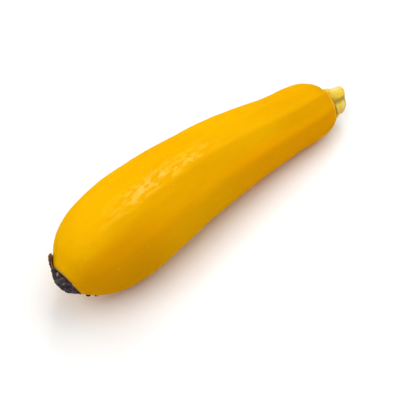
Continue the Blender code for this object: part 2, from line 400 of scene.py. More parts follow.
class Bench:
    """The node tree of one finish, with a short way to add each node."""

    def __init__(self, name: str) -> None:
        """Make a material with a Principled BSDF and its output.

        Args:
            name: Name of the material.
        """
        self.material = bpy.data.materials.new(name)
        self.material.use_nodes = True
        self.tree = self.material.node_tree

    def node(self, kind: str, settings: dict[str, object], inputs: dict[str | int, object],
             output: str | int = 0) -> Reading:
        """Add a node.

        Args:
            kind: The node's type.
            settings: Its settings.
            inputs: The value or reading for each of its sockets.
            output: The output socket to read.

        Returns:
            The reading at that output.
        """
        node = self.tree.nodes.new(kind)
        for name, value in settings.items():
            setattr(node, name, value)
        for name, value in inputs.items():
            self.feed(node.inputs[name], value)
        return Reading(self, node.outputs[output])

    def feed(self, socket: bpy.types.NodeSocket, value: object) -> None:
        """Link a reading to a socket, or set the socket to a constant.

        Args:
            socket: The socket.
            value: The reading or the constant.
        """
        if isinstance(value, Reading):
            self.tree.links.new(value.socket, socket)
        elif socket.type == "RGBA" and len(value) == 3:
            socket.default_value = (*value, 1)
        else:
            socket.default_value = value

    def surfaced(self, inputs: dict[str, object]) -> "Bench":
        """Finish the surface.

        Args:
            inputs: The value or reading for each of its sockets.

        Returns:
            The same bench.
        """
        for name, value in inputs.items():
            self.feed(self.tree.nodes["Principled BSDF"].inputs[name], value)
        return self

    def painted(self, name: str, output: str = "Fac") -> Reading:
        """Return what is stored at the piece's vertices under a name."""
        return self.node("ShaderNodeAttribute", {"attribute_name": name}, {}, output)

    def grown_place(self) -> Reading:
        """Return the point's place on the piece as if it had grown straight, with Z along it."""
        return self.painted("grown", "Vector")

    def part_of(self, place: Reading, axis: str) -> Reading:
        """Return one coordinate of a place."""
        return self.node("ShaderNodeSeparateXYZ", {}, {0: place}, axis)

    def noise(self, place: Reading, scale: float | Place, detail: float = 2,
              roughness: float = 0.5) -> Reading:
        """Return soft noise.

        Args:
            place: Where to read it.
            scale: Clouds in a metre, one number or one for each axis.
            detail: How many finer clouds it is built from.
            roughness: Share of the finer clouds.

        Returns:
            A number mostly between 0.3 and 0.7.
        """
        if isinstance(scale, tuple):
            place, scale = self.node("ShaderNodeMapping", {}, {"Vector": place, "Scale": scale}), 1.0
        return self.node("ShaderNodeTexNoise", {},
                         {"Vector": place, "Scale": scale, "Detail": detail, "Roughness": roughness})

    def cells(self, place: Reading, scale: float) -> Reading:
        """Return the distance from the middle of the cell that the place is in."""
        return self.node("ShaderNodeTexVoronoi", {"feature": "F1"}, {"Vector": place, "Scale": scale})

    def mix(self, share: Term, first: Reading | Colour, second: Reading | Colour) -> Reading:
        """Return a colour between two others, with this share of the second."""
        return self.node("ShaderNodeMix", {"data_type": "RGBA"}, {0: share, 6: first, 7: second}, 2)

    def layered(self, colour: Reading, layers: Iterable[tuple[Reading, Colour]]) -> Reading:
        """Lay colours over another.

        Args:
            colour: The lowest colour.
            layers: The share and the colour of each layer, from the lowest on.

        Returns:
            The colour on top.
        """
        for share, over in layers:
            colour = self.mix(share, colour, over)
        return colour

    def raised(self, height: Reading) -> Reading:
        """Return the normals of a surface with this height, in metres."""
        return self.node("ShaderNodeBump", {}, {"Strength": 1.0, "Distance": 1.0, "Height": height})


@dataclass(frozen=True)
class YellowSkin:
    """Smooth waxy skin, yellow, with faint lengthwise streaks, pale specks and a corky edge round the scar.

    Its zones are counted from the scar, along the fruit, or from the first main ridge, aside. Painted
    light is laid into its colour: a painted highlight beside the first main ridge and on the lip, and
    painted shade on the lower flank by the blossom and in the groove round the stem.

    Attributes:
        deep, light: Colours of its patches.
        orange, olive: Colours of the flank by the stem, and of the olive used for the painted shade on the
            lower flank by the blossom; the neck is faintly olive too.
        bloom, speck, cork, lip, groove: Colours of the painted highlight in the glossy band beside the first
            main
        ridge, the fine specks, the dried edge round the scar, the painted highlight on the lip round the
        stem, and the painted shade in the narrow groove inside the lip.
        olive_neck: The neck's olive, along.
        flank, orange_flank, orange_least: The orange flank, aside and along, and its least share.
        painted_shade_along, painted_shade_aside: Where the painted shade on the lower flank by the blossom
            lies, along and aside.
        highlight_band_ends, highlight_band_sides: Both ends of the glossy band that carries the painted
        highlight, along, and both its sides, aside.
        corky, corky_waver: The cork, along, and how far its edge wavers.
        lip_highlight_zone: The painted highlight on the lip, along.
    """

    deep: Colour = (0.790, 0.370, 0.0005)
    light: Colour = (0.838, 0.428, 0.0007)
    orange: Colour = (0.90, 0.352, 0.0005)
    olive: Colour = (0.68, 0.284, 0.0005)
    # Colour of the painted highlight beside the first main ridge.
    gloss_and_painted_highlight: Colour = (0.90, 0.54, 0.012)
    speck: Colour = (0.84, 0.46, 0.035)
    cork: Colour = (0.50, 0.27, 0.06)
    # Colour of the painted highlight on the lit rim of the lip.
    lip: Colour = (0.90, 0.46, 0.03)
    # Colour of the painted shade in the groove inside the lip.
    groove: Colour = (0.16, 0.10, 0.012)
    olive_neck: Zone = (0.105, 0.150, 0.32)
    flank: Zone = (0.003, 0.012, 1)
    orange_flank: Zone = (0.080, 0.115, 0.45)
    orange_least: float = 0.25
    # Zones of the painted shade on the lower flank by the blossom.
    painted_shade_along: Zone = (0.055, 0.022, 0.78)
    painted_shade_aside: Zone = (0.001, 0.010, 1)
    highlight_band_ends: tuple[Zone, Zone] = ((0.016, 0.040, 1), (0.100, 0.074, 1))
    highlight_band_sides: tuple[Zone, Zone] = ((0.0005, -0.0020, 1), (-0.012, -0.007, 1))
    corky: Zone = (-0.0011, -0.0023, 0.8)
    corky_waver: float = 0.0026
    lip_highlight_zone: Zone = (0.1640, 0.1654, 1)

    def make(self) -> Bench:
        """Build the finish.

        Returns:
            The bench that it was built on.
        """
        bench = Bench("yellow_skin")
        grown = bench.grown_place()
        along, aside = bench.part_of(grown, "Z"), bench.part_of(grown, "Y")
        patches = bench.noise(grown, (60, 60, 22), 3)
        streaks = bench.noise(grown, (520, 520, 34), 3, 0.6)
        uneven = bench.noise(grown, 620.0)
        grain = bench.noise(grown, 1500.0)
        # The glossy band beside the first main ridge: it feeds the coat and a painted highlight in the
        # colour.
        gloss_and_painted_highlight = bench.noise(grown, (430, 430, 240), 3).to(0.42, 0.58)
        for zone in self.highlight_band_ends:
            gloss_and_painted_highlight = gloss_and_painted_highlight * along.to(*zone)
        for zone in self.highlight_band_sides:
            gloss_and_painted_highlight = gloss_and_painted_highlight * aside.to(*zone)
        cells = bench.cells(grown, 330.0)
        specks = cells.to(0.17, 0.06) * bench.part_of(cells.twin("Color"), "X").to(0.62, 0.66)
        corky = (along - uneven * self.corky_waver).to(*self.corky)
        colour = bench.mix(patches.to(0.32, 0.68, 0.65) + streaks.to(0.3, 0.7, 0.35), self.deep, self.light)
        return bench.surfaced({
            "Base Color": bench.layered(colour, (
                (along.to(*self.olive_neck), self.olive),
                (aside.to(*self.flank) * (along.to(*self.orange_flank) + self.orange_least), self.orange),
                # Painted shade: the lower flank by the blossom, which faces away from the light, darkened
                # with olive.
                (aside.to(*self.painted_shade_aside) * along.to(*self.painted_shade_along), self.olive),
                # Painted highlight: a paler yellow in patches along the glossy band.
                (gloss_and_painted_highlight * 0.5, self.gloss_and_painted_highlight),
                (specks * 0.75, self.speck),
                (corky, self.cork),
                # Painted highlight: a paler orange line where the lip's rim catches the light.
                (along.to(*self.lip_highlight_zone) * (0.3 + streaks), self.lip),
                # Painted shade: the groove between the lip and the stem, darkened.
                (bench.painted("fold").to(0.725 * IN_GROOVE, 0.95 * IN_GROOVE), self.groove),
            )),
            "Roughness": 0.33 + grain * 0.12 + corky * 0.35 + specks * 0.1,
            "Normal": bench.raised(grain * 0.00002 + streaks * 0.00006 + uneven * 0.00009 + specks * 0.00003),
            "Specular IOR Level": 0.0,
            "Coat Weight": 0.008 + gloss_and_painted_highlight * 0.2,
            "Coat Roughness": 0.2,
            "Subsurface Weight": 0.12,
            "Subsurface Radius": (1.0, 0.4, 0.05),
            "Subsurface Scale": 0.002,
        })


@dataclass(frozen=True)
class CutStalk:
    """Pale fibrous stalk, yellow on its ribs, olive darkened by painted shade in the folds, with a painted
    shadow at its foot beside the lip, and dried tan at the cut.

    Attributes:
        rib, pale, root: Colours of the ribs, of their paler patches, and where they rise from the fruit.
        fold, seam: Colours deep in the folds, their olive darkened as painted shade, and of the painted
            shadow at its narrow foot beside the lip.
        dried, flesh: Colours of the dried edge of the cut and of its face.
        foot, tip: Where the stalk starts and where the cut is, along the zucchini.
    """

    rib: Colour = (0.85, 0.60, 0.025)
    pale: Colour = (0.84, 0.68, 0.28)
    root: Colour = (0.74, 0.40, 0.008)
    # Olive, darkened as painted shade deep in the folds.
    fold: Colour = (0.34, 0.25, 0.012)
    # Colour of the painted shadow where the stem's foot meets the lip.
    painted_foot_shadow: Colour = (0.20, 0.13, 0.012)
    dried: Colour = (0.56, 0.36, 0.12)
    flesh: Colour = (0.66, 0.50, 0.16)
    foot: float = 0.1663
    tip: float = 0.1809

    def make(self) -> Bench:
        """Build the finish.

        Returns:
            The bench that it was built on.
        """
        bench = Bench("cut_stalk")
        grown = bench.grown_place()
        share = (bench.part_of(grown, "Z") - self.foot) * (1 / (self.tip - self.foot))
        fold, inside = bench.painted("fold"), bench.painted("cut")
        fibres = bench.noise(grown, (1500, 1500, 110), 3, 0.6)
        blotches = bench.noise(grown, 330.0, 3)
        vessels = bench.cells(grown, 900.0).to(0.35, 0.15)
        colour = bench.mix(bench.noise(grown, 240.0).to(0.48, 0.60, 0.8), self.rib, self.pale)
        return bench.surfaced({
            "Base Color": bench.layered(colour, (
                ((share + blotches * 0.5).to(0.62, 0.34), self.root),
                (fibres.to(0.5, 0.72, 0.3), self.dried),
                # Painted shade in the folds between the ribs, partly their own olive colour.
                ((fold + blotches * 0.25 - 0.12).to(0.45, 0.95), self.fold),
                # Painted shadow: a dark line at the stem's foot, just beyond the lip.
                ((share + blotches * 0.14).to(0.25, 0.17, 0.85), self.painted_foot_shadow),
                ((share + fibres * 0.16).to(0.99, 1.06), self.dried),
                (inside.to(0.35, 0.8), self.flesh),
                (inside.to(0.4, 0.9, 0.5) * vessels, self.dried),
            )),
            "Roughness": 0.48 + fibres * 0.2,
            "Normal": bench.raised(fibres * 0.00018 + blotches * 0.0001 - inside * vessels * 0.0001),
            "Specular IOR Level": 0.3,
            "Specular Tint": (1.0, 0.85, 0.4),
            "Subsurface Weight": 0.15,
            "Subsurface Radius": (1.0, 0.6, 0.15),
            "Subsurface Scale": 0.0015,
        })


@dataclass(frozen=True)
class DriedBlossom:
    """Dry papery petals, nearly black, with purple-grey veins that also carry a painted highlight, grey-green
    edges that are partly a painted reflection of glancing light, and brown scraps.

    Attributes:
        dark, bruise: Colours of most of it and of its lighter patches.
        vein, edge: Colours of the raised veins, which also serve as painted highlight on the wrinkles, and of
            the weathered petals, whose grey-green is partly a painted reflection of light glancing off the
            rim.
        brown, tan: Colours of the scraps that dried brown and of the palest bits.
    """

    dark: Colour = (0.011, 0.008, 0.011)
    bruise: Colour = (0.046, 0.036, 0.050)
    # Lighter purple-grey of the veins, which also stands in for the sheen on the wrinkles as painted
    # highlight.
    vein_and_highlight: Colour = (0.23, 0.18, 0.20)
    # Grey-green of some petals, partly a painted reflection of light glancing off the clump's rim.
    edge: Colour = (0.066, 0.078, 0.054)
    brown: Colour = (0.17, 0.078, 0.028)
    tan: Colour = (0.40, 0.245, 0.165)

    def make(self) -> Bench:
        """Build the finish.

        Returns:
            The bench that it was built on.
        """
        bench = Bench("dried_blossom")
        place = bench.node("ShaderNodeTexCoord", {}, {}, "Object")
        tone = bench.painted("tone")
        veins = bench.noise(place, 1300.0, 3, 0.65)
        clouds = bench.noise(place, 420.0, 3, 0.6)
        # Petals with a negative tone turn grey-green, partly painted reflection of glancing light on the rim.
        lighter = bench.mix((tone * -1.0).to(0.2, 0.35), self.bruise, self.edge)
        colour = bench.mix(clouds.to(0.40, 0.60, 0.9), self.dark, lighter)
        return bench.surfaced({
            "Base Color": bench.layered(colour, (
                # Vein streaks, partly painted highlight on the wrinkles.
                (veins.to(0.58, 0.68, 0.7), self.vein_and_highlight),
                ((tone + veins * 0.3 - 0.15).to(0.35, 0.62), self.brown),
                ((tone + clouds * 0.8 - 0.4).to(0.80, 1.0, 0.75), self.tan),
            )),
            "Roughness": 0.62 + veins * 0.35,
            "Normal": bench.raised(veins * 0.00035 + clouds * 0.0003),
            "Specular IOR Level": 0.35,
        })


@dataclass(frozen=True)
class WhiteFloor:
    """Plain matt white studio floor."""

    white: Colour = (0.95, 0.95, 0.95)

    def make(self) -> Bench:
        """Build the finish and return its bench."""
        inputs = {"Base Color": self.white, "Roughness": 1.0, "Specular IOR Level": 0.0}
        return Bench("white_floor").surfaced(inputs)


@dataclass(frozen=True)
class GrowthLine:
    """The bowed line through the middle of the zucchini, which every ring sits on.

    Attributes:
        length: Distance from the blossom scar to the lip, before the bow.
        sideways, upwards: How far both ends bow towards -Y, and how far the middle rises above its ends.
        power: How the bow is spread, 2 for an even one.
        rests: Place of the belly and of the shoulder on the line, each with the line's height there.
        origin: Where the line starts, at the scar, before its bow and height.
        first_ridge: Angle of the first main ridge from the top towards -Y.
        scar_twist: How the ridges drift back at the scar, and to where along the line.
        stem_twist: How they drift back at the stem, from and to where along the line.
        end_reach: How far the stem end reaches ahead of its rings' planes, where it faces one side and all
            round the rest, and the angle of that side from the top towards -Y.
        end_spread: How far round that side spreads, 2 for half of the way.
        step: Distance over which the line's direction is taken.
    """

    length: float = 0.1675
    sideways: float = 0.0063
    upwards: float = 0.0033
    power: float = 1.75
    rests: tuple[Span, Span] = ((0.046, 0.0249571), (0.154, 0.0180599))
    origin: Place = (-0.0894076, 0.0020943, 0)
    first_ridge: float = math.radians(18.8)
    scar_twist: Span = (math.radians(-5), 0.050)
    stem_twist: tuple[float, float, float] = (math.radians(-16.3), 0.140, 0.182)
    end_reach: tuple[float, float, float] = (0.0042, 0.0064, math.radians(28))
    end_spread: float = 1.4
    step: float = 0.0005

    def point(self, along: float) -> Vector:
        """Find a point of the line.

        Args:
            along: Distance from the scar along the line.

        Returns:
            The point.
        """
        bow = abs(2 * along / self.length - 1) ** self.power
        (belly, low), (shoulder, high) = self.rests
        height = low + (high - low) * (along - belly) / (shoulder - belly)
        return Vector(self.origin) + Vector((along, -self.sideways * bow, height - self.upwards * bow))

    def upright(self, along: float) -> Matrix:
        """Find the line's direction.

        Args:
            along: Distance from the scar along the line.

        Returns:
            A rotation, with X upmost, Y to the -Y side and Z along the line.
        """
        forward = (self.point(along + self.step) - self.point(along - self.step)).normalized()
        side = Vector((0, 0, 1)).cross(forward).normalized()
        return Matrix((forward.cross(side), -side, forward)).transposed()

    def ridge_turn(self, along: float) -> float:
        """Find the first main ridge.

        Args:
            along: Distance from the scar along the line.

        Returns:
            Its angle from the top towards -Y.
        """
        twist, to = self.scar_twist
        at_scar = twist * ease(1 - along / to)
        twist, start, end = self.stem_twist
        return self.first_ridge + at_scar + twist * ease((along - start) / (end - start))

    def ahead(self, way: float) -> float:
        """Return how far the stem end reaches ahead at an angle from the top towards -Y."""
        facing, others, side = self.end_reach
        return facing + (others - facing) * ease((1 - math.cos(way - side)) / self.end_spread)

    def ring(self, along: float, turn: float, sides: int, shape: Callable[[float], Place]) -> Ring:
        """Shape a ring round the line.

        Args:
            along: Its place on the line.
            turn: Angle of its first vertex from the top towards -Y.
            sides: How many vertices it has.
            shape: Gives the reach, the distance ahead and the fold at an angle from the first vertex.

        Returns:
            The ring.
        """
        reach, ahead, fold = zip(*(shape(2 * math.pi * step / sides) for step in range(sides)))
        turned = self.upright(along) @ Matrix.Rotation(turn, 3, "Z")
        return Ring(self.point(along), turned, reach, ahead, fold, along)


@dataclass(frozen=True)
class Fruit:
    """The fruit's skin, from the dish of the blossom scar over ten soft ridges to the lobed lip at the stem.

    Attributes:
        line: The line through its middle.
        sides, body_rings: Vertices round a ring, a multiple of ten, and rings between scar and lip.
        evenness: How evenly those rings are spaced, 1 for even; the rest crowd towards the ends.
        belly, outline: Radius of the belly; distance from the scar and radius as a share of the belly's.
        scar_rings: Place, radius and facet depth of the rings of the scar and its rim.
        scar_tilt: How far the scar faces down, the side that stands out furthest, and where the tilt ends.
        lip, lip_rings: Radius of the lip; place from it, share of it, and whether it lies in the groove.
        facets, lip_facet: Depth of the facets between ridges at both ends, and the share of it on the lip.
        lesser: How far the lesser ridges stand below the main ones, as a share of the facets.
        softness: How round the ridges are.
        crease, creased: Crease of the main ridges' edges, and the rings that they run from and to.
        fullness: Places along the fruit, with the size of each main ridge there as a share of the outline's.
        drawn_from: Where the end at the stem starts to reach ahead.
        ripples: The clouds that move the skin.
    """

    line: GrowthLine
    sides: int = 40
    body_rings: int = 34
    evenness: float = 0.45
    belly: float = 0.0258
    outline: tuple[Span, ...] = (
        (0.0025, 0.474), (0.0055, 0.607), (0.010, 0.733), (0.017, 0.856), (0.025, 0.934), (0.036, 0.979),
        (0.050, 0.966), (0.075, 0.907), (0.102, 0.823), (0.127, 0.721), (0.145, 0.652), (0.1555, 0.641),
        (0.1625, 0.576), (0.1664, 0.467),
    )
    scar_rings: tuple[tuple[float, float, float], ...] = (
        (-0.0003, 0.0045, 0), (-0.0003, 0.0071, 0), (-0.0008, 0.0075, 0), (-0.0009, 0.0080, 0),
        (-0.0004, 0.0089, 0.002), (0.0007, 0.0104, 0.005),
    )
    scar_tilt: tuple[float, float, float] = (math.radians(11), math.radians(20), 0.034)
    lip: float = 0.0093
    lip_rings: tuple[tuple[float, float, bool], ...] = (
        (-0.0002, 1.02, False), (0, 0.985, False), (-0.0002, 0.955, True), (-0.0012, 0.935, True),
    )
    lip_facet: float = 0.6
    facets: Span = (0.020, 0.042)
    lesser: float = 0.4
    softness: float = 0.24
    crease: float = 0.35
    creased: tuple[int, int] = (4, -5)
    fullness: tuple[tuple[float, tuple[float, ...]], ...] = (
        (0.020, (1, 0.988, 0.988, 1, 0.998)), (0.050, (1, 0.996, 0.996, 1, 1.007)),
        (0.080, (1, 1.005, 1.005, 1, 0.995)), (0.110, (1.007, 1.005, 1.005, 1, 1.023)),
        (0.134, (1.006, 1.006, 1.006, 1, 1.021)), (0.150, (1.018, 0.983, 0.983, 1, 1.060)),
        (0.160, (1.033, 0.938, 0.938, 1, 1.109)), (0.1668, (1, 0.974, 0.974, 1, 0.998)),
    )
    drawn_from: float = 0.150
    ripples: tuple[Ripple, ...] = ((0.016, 0.0007, 1), (0.005, 0.0002, 1))

    def radius(self, along: float) -> float:
        """Find the radius of the smooth outline.

        Args:
            along: Distance from the scar along the line.

        Returns:
            The radius.
        """
        places, sizes = zip(*self.outline)
        last = len(places) - 1

        def slope(i: int) -> float:
            """Find the outline's slope at one of its points, from those beside it.

            Args:
                i: The point's number.

            Returns:
                The slope.
            """
            if i in (0, last):
                j = min(i, last - 1)
                return (sizes[j + 1] - sizes[j]) / (places[j + 1] - places[j])
            before, after = places[i] - places[i - 1], places[i + 1] - places[i]
            rise = (sizes[i] - sizes[i - 1]) / before * after + (sizes[i + 1] - sizes[i]) / after * before
            return rise / (before + after)

        i = max(k for k in range(last) if places[k] <= along or k == 0)
        step = places[i + 1] - places[i]
        t = (along - places[i]) / step
        size = (1 + 2 * t) * (1 - t) ** 2 * sizes[i] + t * t * (3 - 2 * t) * sizes[i + 1]
        size += (t * (1 - t) ** 2 * slope(i) + t * t * (t - 1) * slope(i + 1)) * step
        return self.belly * size

    def full_at(self, along: float) -> list[float]:
        """Find how full the main ridges are.

        Args:
            along: Distance from the scar along the line.

        Returns:
            The size of each, as a share of the outline's.
        """
        rows = self.fullness
        i = max((k for k in range(len(rows) - 1) if rows[k][0] <= along), default=0)
        (start, before), (end, after) = rows[i:i + 2]
        share = ease((along - start) / (end - start))
        return [old + (new - old) * share for old, new in zip(before, after)]

    def section(self, angle: float, facet: float) -> float:
        """Shape the section across the ridges.

        Args:
            angle: Angle from a main ridge.
            facet: Depth of the facets between the ridges.

        Returns:
            The radius, as a share of the ridge's own.
        """
        deepest = math.hypot(1, self.softness) - self.softness
        crease = (math.hypot(math.sin(MAIN_RIDGES * angle), self.softness) - self.softness) / deepest
        between = (1 - math.cos(MAIN_RIDGES * angle)) / 2
        return 1 - facet * crease - self.lesser * facet * between

    def ring(self, along: float, radius: float, facet: float, hidden: bool = False) -> Ring:
        """Shape one ring of the skin.

        Args:
            along: Its place on the line.
            radius: Radius at the main ridges.
            facet: Depth of the facets between the ridges.
            hidden: Whether it lies in the groove round the stem.

        Returns:
            The ring.
        """
        turn = self.line.ridge_turn(along)
        tilt, side, tilt_to = self.scar_tilt
        drawn = max(0.0, along - self.drawn_from) / (self.line.length - self.drawn_from)
        full = self.full_at(along)

        def shape(angle: float) -> Place:
            """Shape the ring at one of its vertices.

            Args:
                angle: Angle from the ring's first vertex.

            Returns:
                The reach, the distance ahead and the fold.
            """
            out = radius * size_round(full, angle) * self.section(angle, facet) / kept_share(self.sides)
            tilted = math.tan(tilt) * ease(1 - along / tilt_to) * out * math.cos(angle + turn - side)
            fold = IN_GROOVE if hidden else 1 - self.section(angle, 1)
            return out, drawn * self.line.ahead(angle + turn) - tilted, fold

        return self.line.ring(along, turn, self.sides, shape)

    def body_ring(self, along: float) -> Ring:
        """Return the ring of the skin at a distance from the scar, between the scar's rim and the lip."""
        facet = self.facets[0] + (self.facets[1] - self.facets[0]) * ease(along / self.line.length)
        return self.ring(along, self.radius(along), facet)

    def rings(self) -> list[Ring]:
        """Shape all rings of the skin.

        Returns:
            The rings, from the middle of the scar to the bottom of the recess at the stem.
        """
        rings = [self.ring(*row) for row in self.scar_rings]
        first, last = self.outline[0][0], self.outline[-1][0]
        for i in range(self.body_rings):
            even = i / (self.body_rings - 1)
            share = (1 - self.evenness) * (1 - math.cos(math.pi * even)) / 2 + self.evenness * even
            rings.append(self.body_ring(first + (last - first) * share))
        facet = self.facets[1] * self.lip_facet
        return rings + [self.ring(self.line.length + place, self.lip * share, facet, hidden)
                        for place, share, hidden in self.lip_rings]

    def build(self, finish: YellowSkin) -> Piece:
        """Model the skin and dress it.

        Args:
            finish: Its finish.

        Returns:
            The finished piece.
        """
        work = RingWork("fruit_skin", self.rings())
        work.crease(range(0, self.sides, self.sides // MAIN_RIDGES), slice(*self.creased), self.crease)
        return finished(work.done(), 2, self.ripples, finish.make())


@dataclass(frozen=True)
class Stem:
    """The stub of the stem: five uneven round ribs with folds between them, and a slanted cut.

    Attributes:
        line: The line that it carries on.
        sides: Vertices round a ring.
        base, length, radius: Where its length is counted from, its length and its usual radius at the ribs.
        rings, cut_rings: Share of the length, of the radius and depth of the folds; how many are in the cut.
        folds: Angles of the folds from the top towards -Y, in degrees, and the size of the rib after each.
        softness: How round the folds are.
        slant: Slant of the cut, and the side that stands out furthest.
        ripples: The clouds that move its surface.
    """

    line: GrowthLine
    sides: int = 60
    base: float = 0.1663
    length: float = 0.0146
    radius: float = 0.0090
    rings: tuple[tuple[float, float, float], ...] = (
        (-0.06, 0.93, 0.08), (0.0, 0.93, 0.08), (0.10, 0.97, 0.10), (0.22, 1.01, 0.14), (0.40, 0.94, 0.20),
        (0.60, 0.865, 0.25), (0.78, 0.86, 0.27), (0.91, 0.87, 0.28), (0.98, 0.84, 0.26), (1.00, 0.76, 0.22),
        (0.985, 0.66, 0.18), (0.97, 0.44, 0.10), (0.955, 0.22, 0.05),
    )
    cut_rings: int = 3
    folds: tuple[Span, ...] = ((36, 1.05), (132, 1.0), (190, 0.98), (236, 1.0), (278, 1.04))
    softness: float = 0.14
    slant: Span = (math.radians(23), math.radians(-25))
    ripples: tuple[Ripple, ...] = ((0.0016, 0.0003, 1),)

    def rib(self, way: float) -> Span:
        """Find the rib at an angle round the stem.

        Args:
            way: The angle from the top towards -Y.

        Returns:
            How high the point lies on its rib, from 0 in the fold to 1, and the size of the rib there.
        """
        angle = math.degrees(way) % 360
        count = len(self.folds)
        i = max((k for k in range(count) if self.folds[k][0] <= angle), default=count - 1)
        start, own = self.folds[i]
        end = self.folds[(i + 1) % count][0]
        share = (angle - start) % 360 / ((end - start) % 360)
        beside = self.folds[(i + (1 if share > 0.5 else -1)) % count][1]
        high = math.sin(math.pi * share)
        rounded = math.hypot(high, self.softness) / math.hypot(1, self.softness)
        return rounded, own + (beside - own) * (1 - high) / 2

    def ring(self, share: float, size: float, groove: float) -> Ring:
        """Shape one ring of the stem.

        Args:
            share: Its place, as a share of the stem's length.
            size: Radius at the ribs, as a share of the stem's.
            groove: Depth of the folds.

        Returns:
            The ring.
        """
        slant, side = self.slant

        def shape(angle: float) -> Place:
            """Shape the ring at one of its vertices.

            Args:
                angle: Angle from the ring's first vertex.

            Returns:
                The reach, the distance ahead and the fold.
            """
            high, rib = self.rib(angle)
            out = self.radius * size * rib * (1 - groove * (1 - high)) / kept_share(self.sides)
            slanted = math.tan(slant) * out * math.cos(angle - side) * ease(share)
            return out, slanted + self.line.ahead(angle) * (1 - ease(share)), 1 - high

        return self.line.ring(self.base + share * self.length, 0, self.sides, shape)

    def build(self, finish: CutStalk) -> Piece:
        """Model the stub, mark its cut face and dress it.

        Args:
            finish: Its finish.

        Returns:
            The finished piece.
        """
        work = RingWork("stem_stub", [self.ring(*row) for row in self.rings])
        piece = work.done()
        cut = piece.data.attributes.new("cut", "FLOAT", "POINT")
        inner = {index for row in work.rows[-self.cut_rings:] for index in row}
        for index, mark in enumerate(cut.data):
            mark.value = float(index in inner or index > max(work.rows[-1]))
        return finished(piece, 2, self.ripples, finish.make())


class Dried(Enum):
    """Ways in which a petal dried, with the tone that the finish reads."""

    # Grey-green, partly painted reflection of light glancing off the clump's rim.
    WEATHERED = -0.6
    CHARRED = 0.0
    RUSTY = 0.34
    BROWN = 0.62
    TAN = 0.78


@dataclass(frozen=True)
class Clump:
    """Petals that dried side by side.

    Attributes:
        middle: Angle of its middle from the top of the scar towards -Y, in degrees.
        count, length, dried: How many petals it has, their usual length and how they dried.
        start: How far from their root on the summit they start.
        width, lift: Their width as a share of the usual one, and how far they lie above the others.
        roll: How far they turn about their length, in degrees.
    """

    middle: float
    count: int
    length: float
    dried: Dried = Dried.CHARRED
    start: float = 0.0
    width: float = 1.0
    lift: float = 0.0
    roll: float = 0.0


